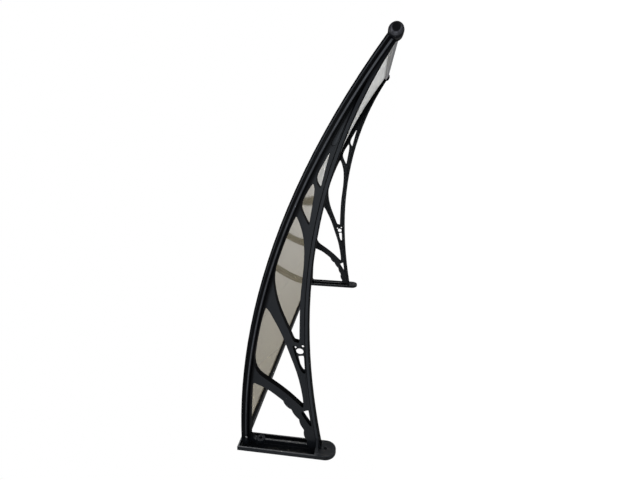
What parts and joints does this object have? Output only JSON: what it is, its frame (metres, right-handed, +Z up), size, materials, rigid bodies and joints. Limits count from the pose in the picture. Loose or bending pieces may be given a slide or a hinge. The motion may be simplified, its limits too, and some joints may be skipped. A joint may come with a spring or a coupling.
{
  "type": "door canopy",
  "caption": "Curved clear polycarbonate canopy held between moulded lattice wall brackets, with cover strips, an aluminium front bar, a rear rail and a wall seal",
  "frame": {"origin": "on the wall plane at mid-width, at the centre of the wall seal's flat back face, level with the middle of the sheet's thickness", "axes": "+X along the wall, +Y into the wall, +Z up"},
  "size_m": [0.849, 0.7533, 0.2698],
  "materials": {
    "black_moulding": "satin moulded surface",
    "clear_polycarbonate": "clear gloss",
    "satin_aluminium": "satin anodised",
    "zinc_steel": "zinc plated",
    "black_rubber": "matt"
  },
  "bodies": {
    "root": {"bar_screw_left": "zinc_steel", "bar_screw_right": "zinc_steel", "bracket_left": "black_moulding", "bracket_right": "black_moulding", "cover_strip_left": "black_moulding", "cover_strip_right": "black_moulding", "front_bar": "satin_aluminium", "polycarbonate_sheet": "clear_polycarbonate", "rail_screw_left": "zinc_steel", "rail_screw_right": "zinc_steel", "rear_rail": "black_moulding", "strip_screw_1_left": "zinc_steel", "strip_screw_1_right": "zinc_steel", "strip_screw_2_left": "zinc_steel", "strip_screw_2_right": "zinc_steel", "strip_screw_3_left": "zinc_steel", "strip_screw_3_right": "zinc_steel", "strip_screw_4_left": "zinc_steel", "strip_screw_4_right": "zinc_steel", "strip_screw_5_left": "zinc_steel", "strip_screw_5_right": "zinc_steel", "tip_cap_left": "black_moulding", "tip_cap_right": "black_moulding", "wall_seal": "black_rubber"}
  },
  "joints": []
}
